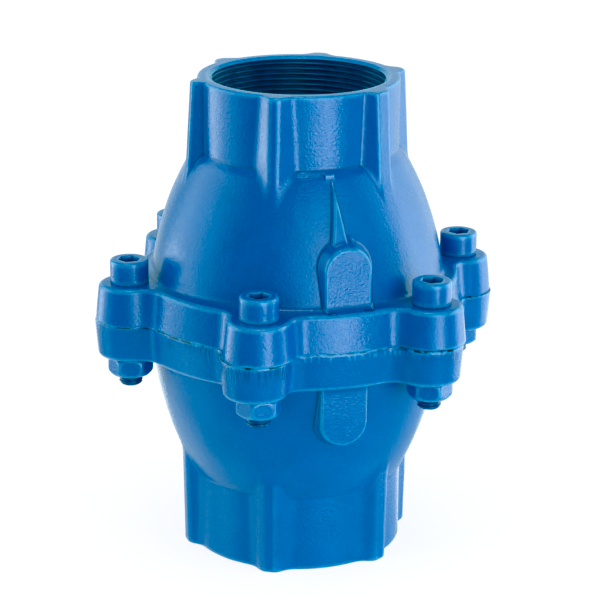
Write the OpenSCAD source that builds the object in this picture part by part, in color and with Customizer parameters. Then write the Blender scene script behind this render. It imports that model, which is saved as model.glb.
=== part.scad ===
// Axial non-return valve in two bolted cast halves, with female pipe threads.
// The flow runs along +Z. The origin is the centre of the inlet face.
// Each half is drawn from the joint face outwards, and the inlet half is turned over.

/* [Halves] */
// Height of the inlet half, from its face to the joint
inlet_h = 105; // [103:0.5:106]
// Height of the outlet half, from the joint to its face
outlet_h = 99; // [98:0.5:104]
// Radius of the bulb at the joint
bulb_r = 63.2; // [62:0.1:64.5]
// Radius of the curve that the inlet bulb's side follows
inlet_curve_r = 156; // [146:1:170]
// Radius of the curve that the outlet bulb's side follows
outlet_curve_r = 132; // [128:1:150]
// Height of the shoulder where the inlet bulb ends
inlet_shoulder_h = 74; // [72:0.5:75]
// Height of the shoulder where the outlet bulb ends
outlet_shoulder_h = 70; // [68:0.5:71]
// Rounding of the shoulder
shoulder_round = 9; // [6:0.5:12]
// Wall of the castings
wall_t = 6; // [5:0.1:7]

/* [Threaded ends] */
// Radius of the bore that is tapped, the minor radius of a G 2 1/2 thread
tapped_r = 36.11; // [35.5:0.01:36.5]
// Length of the tapped bore
tapped_len = 30; // [24:1:31]
// Radius of the passage behind the thread
passage_r = 33; // [30:0.5:34]
// Radius of the outlet end between its ribs
outlet_end_r = 42.4; // [41:0.1:44]
// Radius of the inlet end between its ribs
inlet_end_r = 45.4; // [43:0.1:47]
// How far the grip ribs stand out of the ends
grip_rib_out = 4.3; // [3:0.1:6]
// Width of an inlet grip rib at its crest
inlet_rib_crest = 7.8; // [4:0.1:9]
// Width of an outlet grip rib at its crest
outlet_rib_crest = 4.4; // [3:0.1:8]
// Width of an inlet grip rib at its foot
inlet_rib_foot = 17.4; // [14:0.1:20]
// Width of an outlet grip rib at its foot
outlet_rib_foot = 13.4; // [12:0.1:18]
// Hollow curve between an end and the bulb
end_hollow_r = 2; // [1:0.1:3]
// Lean of an inlet grip rib, which the mould's draft gives it, in degrees
inlet_rib_lean = 1.2; // [0:0.1:3]
// Lean of an outlet grip rib, in degrees
outlet_rib_lean = 3.4; // [0:0.1:4]

/* [Flange] */
// Radius of the rim at the joint
rim_r = 70.2; // [69:0.1:72]
// Thickness of each half's flange
flange_t = 16; // [14:0.5:18]
// Radius of a bolt ear at the joint
ear_r = 14.4; // [13:0.1:16]
// Radius of the hollow curve between an ear and the rim
ear_fillet_r = 7; // [5:0.5:9]
// Draft of the flange's sides, in millimetres per millimetre
flange_draft = 0.075; // [0.02:0.005:0.1]
// Rounding of the flange's edges
edge_round = 1.8; // [0.8:0.1:2.5]
// Turn of the inlet casting's outer form against its drilled holes, in degrees
mould_shift = 1; // [0:0.1:1.5]

/* [Bolting] */
// Number of cap screws
bolt_count = 6; // [6:1:6]
// Radius of the circle on which the screws stand
bolt_circle_r = 73.8; // [73:0.1:75]
// Radius of a screw's shank
screw_r = 5; // [5:0.5:5]
// Length of a screw under its head
screw_len = 45; // [45:5:50]
// Radius of a clearance hole
screw_hole_r = 5.5; // [5.3:0.1:5.8]
// Width across flats of a nut
nut_af = 16; // [16:1:17]
// Height of a nut
nut_h = 8.4; // [8:0.1:9]

/* [Cast marks] */
// Distance of the pad's flat face from the axis
pad_face = 63.6; // [63:0.1:65]
// Half width of the pad's face
pad_half_w = 9.8; // [8:0.1:11]
// Height of the pad's round end over the joint
pad_top = 40; // [36:0.5:42]
// Spread of the pad's sides, in millimetres per millimetre of depth
pad_spread = 0.6; // [0.2:0.05:0.8]
// Width of the flow mark at its foot
mark_w = 7; // [5:0.5:9]
// Height of the flow mark's tip over the joint
mark_top = 64; // [58:0.5:65]
// How far the flow mark stands out of the bulb
mark_out = 2; // [1:0.1:3]

/* [Seat and disc] */
// Radius of the seat's bore
seat_bore_r = 32.5; // [30:0.5:33]
// Radius of the seat carrier's flange
carrier_r = 60.5; // [60:0.1:60.6]
// Thickness of the seat carrier's flange
carrier_t = 6; // [5:0.5:7]
// Length of the seat carrier's nozzle under the joint
nozzle_len = 26; // [22:1:30]
// Height of the raised seat lip
seat_lip_h = 1.5; // [1:0.1:2]
// Radius of the disc
disc_r = 40; // [38:0.5:42]
// Thickness of the disc's seal ring
seal_t = 3.5; // [3:0.1:4]
// Lift of the disc from closed to fully open
disc_lift = 16.5; // [14:0.5:17]

/* [Stem and spring] */
// Radius of the stem
stem_r = 5; // [5:0.5:6]
// Radial clearance of the stem in its guide bushes
guide_gap = 0.05; // [0.03:0.01:0.08]
// How far the stem reaches below the joint
stem_down = 46; // [44:1:50]
// How far the stem reaches above the joint
stem_up = 60; // [56:1:64]
// Outer radius of the guide bushes
bush_r = 7.5; // [7:0.1:8]
// Mean radius of the spring
spring_r = 12.9; // [12.5:0.1:13.5]
// Thickness of the spring's wire
spring_wire = 2.2; // [1.8:0.1:2.4]
// Turns of the spring, with its closed ends
spring_turns = 7; // [6:0.5:8]

/* [Hidden] */
$fn = 96;

paint = "#0A72BC";
bronze = "#B58A4A";
steel = "#C3C6C9";
black_rubber = "#1C1D1F";
pale_plastic = "#E4E0D2";

joint_z = inlet_h;
bolt_step = 360 / bolt_count;
bolt_start = -90 + bolt_step / 2;
shoulder_wall = 5;
core_round = 6;
end_round = 1.4;
mouth_chamfer = 2;
rib_root = 4;
rib_low = 40;
rib_end_round = 2;
ledge_round = 2.4;
ledge_sink = 0.4;
mark_sink = 4;
mark_block = [4.6, 6, 4.5];
mark_block_out = 3;
bush_fit = 0.02;
far = 130;

// The fillet between an ear and the rim touches both, so its centre follows from their radii.
fillet_centre_r = rim_r + ear_fillet_r;
fillet_reach = ear_r + ear_fillet_r;
fillet_turn = acos((fillet_centre_r ^ 2 + bolt_circle_r ^ 2 - fillet_reach ^ 2)
    / (2 * fillet_centre_r * bolt_circle_r));

// Heights over the joint, up the stem
seal_low = seat_lip_h;
disc_low = seal_low + seal_t;
plate_t = 4;
plate_top = disc_low + plate_t;
boss_h = 2;
boss_top = plate_top + boss_h;
stem_washer_t = 1.5;
stem_nut_h = 8;
stem_nut_af = 17;
stem_nut_top = boss_top + stem_washer_t + stem_nut_h;
bush_flange_t = 1.5;
bush_flange_r = 9.4;
upper_bush_low = stem_nut_top + disc_lift;
hub_low = upper_bush_low + bush_flange_t;
hub_wall = 3;
hub_neck_h = 12.5;
hub_head_r = 14.6;
hub_head_h = 15;
hub_round = 3;
spring_seat = hub_low + hub_neck_h;
hub_top = spring_seat + hub_head_h;
hub_arm_t = 5;
arm_root = 0.8;
arm_reach = curve_centre(outlet_curve_r) + sqrt((outlet_curve_r - wall_t) ^ 2 - spring_seat ^ 2) + arm_root;
retainer_t = 3.5;
retainer_r = 30;
retainer_low = seal_low - retainer_t;
stem_collar_t = 3;
closed_gap = 1.5;
lower_bush_top = retainer_low - stem_collar_t - closed_gap;
lower_hub_top = lower_bush_top - bush_flange_t;
lower_hub_low = -nozzle_len - 4;
seat_arm_t = 4;
arm_inset = 3;

register_r = carrier_r + 0.1;
body_ring_r = 65.1;
body_ring_wire = 3;
body_groove_w = 3.4;
body_groove_t = 2.4;
seat_ring_wire = 2.6;
seat_groove_t = 2.1;
seat_groove_w = 3;
nozzle_wall = 4;
nozzle_hollow_r = 5;
lip_inset = 0.8;
lip_w = 2.6;
seal_inner_r = 13.8;
disc_rim_t = 2;
disc_edge_r = 1.5;
nut_face_inset = 0.3;
nut_chamfer_h = 1.2;

// Places copies at every bolt.
module at_bolts() {
    for (i = [0:bolt_count - 1])
        rotate([0, 0, bolt_start + i * bolt_step])
            children();
}

// Centre of a bulb's side curve, measured from the axis.
function curve_centre(side_r) = bulb_r - side_r;

// Centre of the arc that rounds a bulb's shoulder into its side.
function corner_centre(centre, curve_r, top, corner_r) =
    centre + sqrt((curve_r - corner_r) ^ 2 - (top - corner_r) ^ 2);

// Half section of a bulb: a long curve about a centre, which a rounded shoulder closes.
module bulb_section(centre, curve_r, top, corner_r) {
    corner_x = corner_centre(centre, curve_r, top, corner_r);
    touch_h = (top - corner_r) * curve_r / (curve_r - corner_r);
    intersection() {
        translate([centre, 0])
            circle(r = curve_r, $fn = 360);
        square([far, touch_h]);
    }
    translate([corner_x, top - corner_r])
        circle(r = corner_r);
    square([corner_x, top]);
}

// Points along an arc, without its last one.
function arc_points(centre, r, from, to, steps) =
    [for (i = [0:steps - 1]) let (a = from + (to - from) * i / steps) centre + r * [cos(a), sin(a)]];

function polar(r, a) = [r * cos(a), r * sin(a)];

function turned(p, a) = [p[0] * cos(a) - p[1] * sin(a), p[0] * sin(a) + p[1] * cos(a)];

// One bolt's share of the flange outline, drawn in by inset: ear, hollow, rim, hollow.
function ear_sector(inset) =
    let (first = polar(fillet_centre_r, fillet_turn))
    let (second = polar(fillet_centre_r, bolt_step - fillet_turn))
    let (ear_a = atan2(first[1], first[0] - bolt_circle_r))
    concat(
        arc_points([bolt_circle_r, 0], ear_r - inset, -ear_a, ear_a, 12),
        arc_points(first, ear_fillet_r + inset, ear_a - 180, fillet_turn - 180, 4),
        arc_points([0, 0], rim_r - inset, fillet_turn, bolt_step - fillet_turn, 5),
        arc_points(second, ear_fillet_r + inset, bolt_step - fillet_turn - 180, bolt_step - ear_a - 180, 4)
    );

function flange_ring(inset, z) = [
    for (k = [0:bolt_count - 1])
        for (p = ear_sector(inset))
            [each turned(p, bolt_start + k * bolt_step), z]
];

// Flange with bolt ears: one outline of arcs, drawn in by the draft and by the rounded edge.
module flange_outline() {
    corner_h = flange_t - edge_round;
    corner_inset = flange_draft * corner_h;
    rings = [
        flange_ring(0, 0),
        for (a = [0:30:90])
            flange_ring(corner_inset + edge_round * (1 - cos(a)), corner_h + edge_round * sin(a))
    ];
    n = len(rings[0]);
    top = (len(rings) - 1) * n;
    points = concat([for (ring = rings) each ring], [[0, 0, 0], [0, 0, flange_t]]);
    low_centre = len(points) - 2;
    top_centre = len(points) - 1;
    walls = [
        for (k = [0:len(rings) - 2])
            for (i = [0:n - 1])
                let (j = (i + 1) % n, a = k * n, b = a + n)
                each [[a + j, a + i, b + i], [a + j, b + i, b + j]]
    ];
    caps = [
        for (i = [0:n - 1])
            let (j = (i + 1) % n)
            each [[low_centre, i, j], [top_centre, top + j, top + i]]
    ];
    polyhedron(points = points, faces = concat(walls, caps), convexity = 6);
}

// Grip ribs: leaning wedges at the bolts' angles, which the bulb swallows.
// A blank that leans as they do rounds their ends.
module grip_ribs(end_r, h, crest, foot, lean) {
    foot_x = sqrt(end_r ^ 2 - (foot / 2) ^ 2);
    crest_x = end_r + grip_rib_out;
    low_x = crest_x + (h - rib_low) * tan(lean);
    round_centre = [crest_x - rib_end_round, h - rib_end_round];
    intersection() {
        at_bolts()
            translate([foot_x, 0, h])
                rotate([0, -lean, 0])
                    translate([-foot_x, 0, -h])
                        linear_extrude(height = h)
                            polygon([
                                [foot_x - rib_root, -foot / 2], [foot_x, -foot / 2],
                                [crest_x, -crest / 2], [crest_x, crest / 2],
                                [foot_x, foot / 2], [foot_x - rib_root, foot / 2]
                            ]);
        rotate_extrude()
            polygon(concat(
                [[0, rib_low], [low_x + 1, rib_low]],
                arc_points(round_centre, rib_end_round + 0.1, 0, 90, 5),
                [[round_centre[0], h], [0, h]]
            ));
    }
}

// Cylinder whose top edge is rounded.
module end_blank(r, h, round_r) {
    rotate_extrude() {
        square([r - round_r, h]);
        square([r, h - round_r]);
        translate([r - round_r, h - round_r])
            circle(r = round_r);
    }
}

// Tongue-shaped pad on the front of the bulb, with a flat face and sloping sides.
module pad() {
    depth = 10;
    back_half_w = pad_half_w + pad_spread * depth;
    round_h = pad_top - pad_half_w;
    translate([0, -pad_face, 0]) {
        linear_extrude(height = round_h)
            polygon([
                [-pad_half_w, 0], [pad_half_w, 0],
                [back_half_w, depth], [-back_half_w, depth]
            ]);
        translate([0, 0, round_h])
            rotate([-90, 0, 0])
                cylinder(h = depth, r1 = pad_half_w, r2 = back_half_w);
    }
}

// Flow mark: a slim raised triangle that follows the bulb, with a small block over its tip.
module flow_mark() {
    foot_h = pad_top - mark_sink;
    centre = curve_centre(outlet_curve_r);
    intersection() {
        rotate_extrude()
            bulb_section(centre, outlet_curve_r + mark_out, outlet_shoulder_h - mark_out, shoulder_round);
        rotate([90, 0, 0])
            linear_extrude(height = far)
                polygon([[-mark_w / 2, foot_h], [mark_w / 2, foot_h], [0, mark_top]]);
    }
    translate([-mark_block[0] / 2, -outlet_end_r - mark_block_out, outlet_shoulder_h - mark_sink])
        cube(mark_block);
}

// Outer form of one half, solid, from the joint at z = 0.
module half_form(h, end_r, curve_r, top, crest, foot, lean, shift) {
    rotate_extrude() {
        bulb_section(curve_centre(curve_r), curve_r, top, shoulder_round);
        end_hollow(end_r, corner_centre(curve_centre(curve_r), curve_r, top, shoulder_round), top);
    }
    end_blank(end_r, h, end_round);
    rotate([0, 0, shift]) {
        grip_ribs(end_r, h, crest, foot, lean);
        flange_outline();
        pad();
    }
    ledge_fillet(curve_r);
}

// Section of the hollow curve under an end, which touches the end and the shoulder's rounding.
module end_hollow(end_r, corner_x, top) {
    hollow_r = end_r + end_hollow_r;
    rise = sqrt((shoulder_round + end_hollow_r) ^ 2 - (hollow_r - corner_x) ^ 2);
    hollow_h = top - shoulder_round + rise;
    touch = shoulder_round / (shoulder_round + end_hollow_r);
    low = hollow_h - rise * (1 - touch);
    low_x = corner_x + (hollow_r - corner_x) * touch;
    difference() {
        polygon([[0, low], [low_x, low], [hollow_r, hollow_h], [0, hollow_h]]);
        translate([hollow_r, hollow_h])
            circle(r = end_hollow_r);
    }
}

// Small hollow curve where the bulb stands on the flange.
module ledge_fillet(curve_r) {
    ledge_r = curve_centre(curve_r) + sqrt(curve_r ^ 2 - flange_t ^ 2);
    rotate_extrude()
        difference() {
            translate([ledge_r - ledge_round, flange_t - 1])
                square([2 * ledge_round - ledge_sink, ledge_round + 1]);
            translate([ledge_r + ledge_round - ledge_sink, flange_t + ledge_round])
                circle(r = ledge_round);
        }
}

// Room inside one half: bulb, passage, tapped bore and its chamfered mouth.
module half_core(h, curve_r, top) {
    rotate_extrude() {
        bulb_section(curve_centre(curve_r), curve_r - wall_t, top - shoulder_wall, core_round);
        square([passage_r, h]);
        translate([0, h - tapped_len])
            square([tapped_r, tapped_len]);
        polygon([
            [0, h - mouth_chamfer], [tapped_r, h - mouth_chamfer],
            [tapped_r + mouth_chamfer, h], [tapped_r + mouth_chamfer, h + 1], [0, h + 1]
        ]);
    }
}

module screw_holes() {
    at_bolts()
        translate([bolt_circle_r, 0, -1])
            cylinder(h = flange_t + 4, r = screw_hole_r);
}

// Radial arms that carry a hub, standing from low to top.
module arms(count, low, top, reach, thickness) {
    for (i = [0:count - 1])
        rotate([0, 0, 90 + i * 360 / count])
            translate([0, -thickness / 2, low])
                cube([reach, thickness, top - low]);
}

module inlet_body() {
    color(paint)
        translate([0, 0, joint_z])
            mirror([0, 0, 1])
                difference() {
                    inlet_form();
                    half_core(inlet_h, inlet_curve_r, inlet_shoulder_h);
                    screw_holes();
                    translate([0, 0, -1])
                        cylinder(h = carrier_t + 1, r = register_r);
                    o_ring_groove();
                }
}

module inlet_form() {
    half_form(
        h = inlet_h, end_r = inlet_end_r, curve_r = inlet_curve_r, top = inlet_shoulder_h,
        crest = inlet_rib_crest, foot = inlet_rib_foot, lean = inlet_rib_lean, shift = -mould_shift
    );
}

module outlet_form() {
    half_form(
        h = outlet_h, end_r = outlet_end_r, curve_r = outlet_curve_r, top = outlet_shoulder_h,
        crest = outlet_rib_crest, foot = outlet_rib_foot, lean = outlet_rib_lean, shift = 0
    );
}

module o_ring_groove() {
    rotate_extrude()
        translate([body_ring_r - body_groove_w / 2, -1])
            square([body_groove_w, body_groove_t + 1]);
}

module outlet_body() {
    color(paint)
        translate([0, 0, joint_z])
            difference() {
                union() {
                    difference() {
                        union() {
                            outlet_form();
                            flow_mark();
                        }
                        half_core(outlet_h, outlet_curve_r, outlet_shoulder_h);
                        screw_holes();
                    }
                    outlet_hub();
                }
                translate([0, 0, hub_low - 1])
                    cylinder(h = hub_top - hub_low + 2, r = bush_r + bush_fit);
            }
}

// Hub on three arms in the outlet half. It guides the stem and backs the spring.
module outlet_hub() {
    rotate_extrude() {
        translate([0, hub_low])
            square([bush_r + hub_wall, hub_top - hub_low]);
        translate([0, spring_seat])
            square([hub_head_r, hub_top - spring_seat - hub_round]);
        translate([hub_head_r - hub_round, hub_top - hub_round])
            circle(r = hub_round);
    }
    arms(3, spring_seat + 1, hub_top - 2 * hub_round, arm_reach, hub_arm_t);
}

// Seat carrier: clamped flange, nozzle, raised lip and a hub on three arms.
module seat_carrier() {
    color(bronze)
        translate([0, 0, joint_z])
            difference() {
                union() {
                    rotate_extrude()
                        seat_carrier_section();
                    seat_arms();
                    translate([0, 0, lower_hub_low])
                        cylinder(h = lower_hub_top - lower_hub_low, r = bush_r + hub_wall);
                }
                translate([0, 0, lower_hub_low - 1])
                    cylinder(h = lower_hub_top - lower_hub_low + 2, r = bush_r + bush_fit);
            }
}

// Arms of the seat carrier, which end just inside the nozzle's wall.
module seat_arms() {
    low = lower_hub_low + arm_inset;
    top = lower_hub_top - arm_inset;
    intersection() {
        arms(3, low, top, seat_bore_r + 2, seat_arm_t);
        translate([0, 0, lower_hub_low])
            cylinder(h = -lower_hub_low, r = seat_bore_r + 1);
    }
}

// Section of the carrier: flange, nozzle with a rounded mouth and a hollow curve, lip, ring groove.
module seat_carrier_section() {
    nozzle_r = seat_bore_r + nozzle_wall;
    nozzle_round = nozzle_wall / 2;
    difference() {
        union() {
            translate([seat_bore_r, -carrier_t])
                square([carrier_r - seat_bore_r, carrier_t]);
            translate([seat_bore_r, -nozzle_len + nozzle_round])
                square([nozzle_wall, nozzle_len - nozzle_round]);
            translate([seat_bore_r + nozzle_round, -nozzle_len + nozzle_round])
                circle(r = nozzle_round);
            difference() {
                translate([nozzle_r - 1, -carrier_t - nozzle_hollow_r])
                    square([nozzle_hollow_r + 1, nozzle_hollow_r + 1]);
                translate([nozzle_r + nozzle_hollow_r, -carrier_t - nozzle_hollow_r])
                    circle(r = nozzle_hollow_r);
            }
            translate([seat_bore_r + lip_inset, -1])
                square([lip_w, seat_lip_h + 1]);
        }
        translate([carrier_r - seat_groove_t, -carrier_t / 2 - seat_groove_w / 2])
            square([seat_groove_t + 1, seat_groove_w]);
    }
}

// Ring seal between the halves, flattened by the joint.
module body_o_ring() {
    color(black_rubber)
        translate([0, 0, joint_z - body_groove_t])
            rotate_extrude()
                translate([body_ring_r, body_groove_t / 2])
                    intersection() {
                        circle(r = body_ring_wire / 2);
                        square([body_groove_w, body_groove_t], center = true);
                    }
}

// Ring seal round the seat carrier, flattened by its register.
module seat_o_ring() {
    color(black_rubber)
        translate([0, 0, joint_z - carrier_t / 2])
            rotate_extrude()
                translate([register_r - seat_groove_t / 2 - 0.05, 0])
                    intersection() {
                        circle(r = seat_ring_wire / 2);
                        square([seat_groove_t, seat_groove_w], center = true);
                    }
}

// Disc: plate with a skirt round its seal, a boss under it and a spring seat on top.
module disc() {
    skirt_low = seal_low + 1;
    color(bronze)
        translate([0, 0, joint_z])
            difference() {
                rotate_extrude() {
                    difference() {
                        union() {
                            translate([0, disc_low])
                                square([disc_r - disc_edge_r, plate_top - disc_low]);
                            translate([0, skirt_low])
                                square([disc_r, plate_top - skirt_low - disc_edge_r]);
                            translate([disc_r - disc_edge_r, plate_top - disc_edge_r])
                                circle(r = disc_edge_r);
                        }
                        translate([seal_inner_r, 0])
                            square([disc_r - disc_rim_t - seal_inner_r, disc_low]);
                    }
                    translate([0, seal_low])
                        square([seal_inner_r, disc_low - seal_low + 1]);
                    translate([0, plate_top - 1])
                        square([bush_r + hub_wall, boss_top - plate_top + 1]);
                }
                translate([0, 0, -1])
                    cylinder(h = boss_top + 2, r = stem_r + bush_fit);
            }
}

module disc_seal() {
    color(black_rubber)
        translate([0, 0, joint_z + seal_low])
            ring(disc_r - disc_rim_t - 0.1, seal_inner_r + 0.1, seal_t);
}

module seal_retainer() {
    color(steel)
        translate([0, 0, joint_z + retainer_low])
            rotate_extrude()
                polygon([
                    [stem_r + bush_fit, 0], [retainer_r - 1.4, 0], [retainer_r, 1.4],
                    [retainer_r, retainer_t], [stem_r + bush_fit, retainer_t]
                ]);
}

module ring(outer_r, inner_r, t) {
    difference() {
        cylinder(h = t, r = outer_r);
        translate([0, 0, -1])
            cylinder(h = t + 2, r = inner_r);
    }
}

// Stem with a collar that the nut draws the disc against, and chamfered ends.
module stem() {
    tip = 0.8;
    color(steel)
        translate([0, 0, joint_z])
            rotate_extrude() {
                polygon([
                    [0, -stem_down], [stem_r - tip, -stem_down], [stem_r, -stem_down + tip],
                    [stem_r, stem_up - tip], [stem_r - tip, stem_up], [0, stem_up]
                ]);
                translate([0, retainer_low - stem_collar_t])
                    square([stem_r + 3, stem_collar_t]);
            }
}

module stem_washer() {
    color(steel)
        translate([0, 0, joint_z + boss_top])
            ring(stem_r + 5, stem_r + bush_fit, stem_washer_t);
}

// Hexagon with both faces chamfered and a bore through it.
module nut(af, h, bore_r) {
    corner_r = af / 2 / cos(30);
    face_r = af / 2 - nut_face_inset;
    blank_r = corner_r + 0.4;
    difference() {
        intersection() {
            cylinder(h = h, r = corner_r, $fn = 6);
            rotate_extrude()
                polygon([
                    [0, 0], [face_r, 0], [blank_r, nut_chamfer_h],
                    [blank_r, h - nut_chamfer_h], [face_r, h], [0, h]
                ]);
        }
        translate([0, 0, -1])
            cylinder(h = h + 2, r = bore_r);
    }
}

module stem_nut() {
    color(steel)
        translate([0, 0, joint_z + boss_top + stem_washer_t])
            nut(stem_nut_af, stem_nut_h, stem_r + bush_fit);
}

// Height of the spring's centre line at turn t: closed ends, open turns between.
function spring_z(t, low, top) =
    let (closed = 0.9, pitch = spring_wire * 1.02)
    let (open_low = low + closed * pitch, open_top = top - closed * pitch)
    t < closed ? low + t * pitch
    : t > spring_turns - closed ? top - (spring_turns - t) * pitch
    : open_low + (open_top - open_low) * (t - closed) / (spring_turns - 2 * closed);

// Compression spring: a round wire carried along a helix.
module spring() {
    sides = 8;
    per_turn = 24;
    steps = spring_turns * per_turn;
    low = joint_z + plate_top + spring_wire / 2 + 0.02;
    top = joint_z + spring_seat - spring_wire / 2 - 0.02;
    points = [
        for (i = [0:steps])
            let (turn = i * 360 / per_turn, z = spring_z(i / per_turn, low, top))
            for (j = [0:sides - 1])
                let (a = j * 360 / sides, r = spring_r + spring_wire / 2 * cos(a))
                [r * cos(turn), r * sin(turn), z + spring_wire / 2 * sin(a)]
    ];
    walls = [
        for (i = [0:steps - 1])
            for (j = [0:sides - 1])
                let (k = (j + 1) % sides, a = i * sides, b = a + sides)
                [a + j, b + j, b + k, a + k]
    ];
    ends = [
        [for (j = [0:sides - 1]) j],
        [for (j = [sides - 1:-1:0]) steps * sides + j]
    ];
    color(steel)
        polyhedron(points = points, faces = concat(walls, ends), convexity = 10);
}

// Flanged guide bush, from low to top, with its flange at one end.
module bush(low, top, flange_low) {
    difference() {
        union() {
            translate([0, 0, low])
                cylinder(h = top - low, r = bush_r);
            translate([0, 0, flange_low])
                cylinder(h = bush_flange_t, r = bush_flange_r);
        }
        translate([0, 0, low - 1])
            cylinder(h = top - low + 2, r = stem_r + guide_gap);
    }
}

module upper_guide_bush() {
    color(pale_plastic)
        translate([0, 0, joint_z])
            bush(upper_bush_low, hub_top - 1, upper_bush_low);
}

module lower_guide_bush() {
    color(pale_plastic)
        translate([0, 0, joint_z])
            bush(lower_hub_low + 1, lower_bush_top, lower_hub_top);
}

// Cap screw, head up on the outlet flange, with a hexagon socket.
module cap_screw(i) {
    head_r = 8;
    head_h = 10;
    socket_af = 8;
    socket_depth = 5;
    head_chamfer = 0.9;
    color(paint)
        rotate([0, 0, bolt_start + (i - 1) * bolt_step])
            translate([bolt_circle_r, 0, joint_z + flange_t])
                difference() {
                    rotate_extrude()
                        polygon([
                            [0, -screw_len], [screw_r - 1, -screw_len], [screw_r, 1 - screw_len],
                            [screw_r, 0], [head_r, 0], [head_r, head_h - head_chamfer],
                            [head_r - head_chamfer, head_h], [0, head_h]
                        ]);
                    translate([0, 0, head_h - socket_depth])
                        cylinder(h = socket_depth + 1, r = socket_af / 2 / cos(30), $fn = 6);
                }
}

module hex_nut(i) {
    color(paint)
        rotate([0, 0, bolt_start + (i - 1) * bolt_step])
            translate([bolt_circle_r, 0, joint_z - flange_t - nut_h])
                rotate([0, 0, nut_turn(i)])
                    nut(nut_af, nut_h, screw_r + bush_fit);
}

// Angle past its corner at which each nut stopped when it was tightened.
function nut_turn(i) = [36, 22, 51, 13, 46, 8][i - 1];

inlet_body();
outlet_body();
seat_carrier();
body_o_ring();
seat_o_ring();
disc();
disc_seal();
seal_retainer();
stem();
stem_washer();
stem_nut();
spring();
upper_guide_bush();
lower_guide_bush();
for (i = [1:bolt_count]) {
    cap_screw(i);
    hex_nut(i);
}
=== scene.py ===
import math
import bpy
import numpy as np
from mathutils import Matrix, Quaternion, Vector


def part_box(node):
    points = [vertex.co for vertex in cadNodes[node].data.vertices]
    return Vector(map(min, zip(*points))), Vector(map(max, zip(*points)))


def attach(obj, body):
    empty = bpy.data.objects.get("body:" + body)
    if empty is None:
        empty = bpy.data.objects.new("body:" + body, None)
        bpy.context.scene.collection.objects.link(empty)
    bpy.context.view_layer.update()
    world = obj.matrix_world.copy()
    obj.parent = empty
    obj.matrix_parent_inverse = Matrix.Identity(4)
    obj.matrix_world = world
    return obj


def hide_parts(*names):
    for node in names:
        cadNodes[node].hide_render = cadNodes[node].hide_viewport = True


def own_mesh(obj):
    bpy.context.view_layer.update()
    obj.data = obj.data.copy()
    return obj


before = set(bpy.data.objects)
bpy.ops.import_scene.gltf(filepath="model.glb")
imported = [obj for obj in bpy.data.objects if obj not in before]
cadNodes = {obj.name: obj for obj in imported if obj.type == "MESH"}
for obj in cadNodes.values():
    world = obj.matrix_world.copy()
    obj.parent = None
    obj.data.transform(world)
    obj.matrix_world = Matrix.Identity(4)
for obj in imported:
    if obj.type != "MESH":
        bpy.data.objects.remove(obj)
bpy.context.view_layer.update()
mm = 0.001  # every size below is in millimetres
print("frame loaded with", len(cadNodes), "nodes")


# Lowest and highest corner of a CAD node in millimetres.
def nodeBox(name):
    lowest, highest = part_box(name)
    return np.array(lowest) / mm, np.array(highest) / mm


jointZ = nodeBox("outlet_body")[0][2]
outletH = nodeBox("outlet_body")[1][2] - jointZ
inletH = jointZ - nodeBox("inlet_body")[0][2]
firstBolt = np.mean(nodeBox("cap_screw_1"), axis=0)
boltCircleR = math.hypot(firstBolt[0], firstBolt[1])
boltAngles = [-60 + 60 * i for i in range(6)]  # degrees from +X, screw 1 first


# Sine and cosine of degrees.
def sinD(a):
    return np.sin(np.radians(a))


def cosD(a):
    return np.cos(np.radians(a))


# Larger of two values with a rounded change over k: max + h^2 k / 4, h = how deep inside k the two lie.
def softMax(a, b, k):
    h = np.maximum(k - np.abs(a - b), 0) / k
    return np.maximum(a, b) + h * h * k / 4


# Smaller of two values, rounded the same way.
def softMin(a, b, k):
    return -softMax(-a, -b, k)


# 0 below low, 1 above high, 3t^2 - 2t^3 between them.
def ease(x, low, high):
    t = np.clip((x - low) / (high - low), 0, 1)
    return t * t * (3 - 2 * t)


latticeHash = {"primes": (73856093, 19349663, 83492791), "seedStep": 2654435, "mix": 1274126177}
seedShift = 31.7  # how many lumps apart the patterns of two seeds lie


# Triangle wave: 0 at whole turns and 1 half way between them.
def triangleWave(turns):
    return 1 - np.abs(2 * (turns % 1) - 1)


# Smooth lumps from -1 to 1: a value hashed at each lattice corner, blended along each axis by 3t^2 - 2t^3.
def lumps(points, size, seed):
    p = points / size + seedShift * seed
    corner = np.floor(p).astype(np.int64)
    f = p - corner
    f = f * f * (3 - 2 * f)
    total = np.zeros(p.shape[:-1])
    for step in np.ndindex(2, 2, 2):
        c = (corner + np.array(step)) * np.array(latticeHash["primes"])
        n = c[..., 0] ^ c[..., 1] ^ c[..., 2] ^ (seed * latticeHash["seedStep"])
        n = ((n ^ (n >> 13)) * latticeHash["mix"]) & 0x7FFFFFFF
        value = ((n ^ (n >> 15)) & 0xFFFF) / 32767.5 - 1
        total += np.prod(np.where(step, f, 1 - f), axis=-1) * value
    return total


# Outward direction at every point of a closed grid: the cross product of its two tangents.
def gridNormals(grid):
    alongRows = np.roll(grid, -1, axis=0) - np.roll(grid, 1, axis=0)
    alongColumns = np.roll(grid, -1, axis=1) - np.roll(grid, 1, axis=1)
    n = np.cross(alongColumns, alongRows)
    return n / np.maximum(np.linalg.norm(n, axis=-1, keepdims=True), 1e-9)


# Grid moved along its normals by bump millimetres, on the rows from first up to last.
def bumped(grid, bump, first=0, last=None):
    out = np.zeros(grid.shape[:2])
    out[first:last] = bump[first:last]
    return grid + gridNormals(grid) * out[..., None]


# Faces between neighbouring rows of a grid whose columns close; the rows close too when loop is true.
def gridFaces(rows, columns, loop):
    r = np.arange(rows if loop else rows - 1)[:, None]
    c = np.arange(columns)[None, :]
    nextRow, nextColumn = (r + 1) % rows, (c + 1) % columns
    faces = np.stack([r * columns + c, r * columns + nextColumn,
                      nextRow * columns + nextColumn, nextRow * columns + c], -1)
    return faces.reshape(-1, 4)


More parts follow.
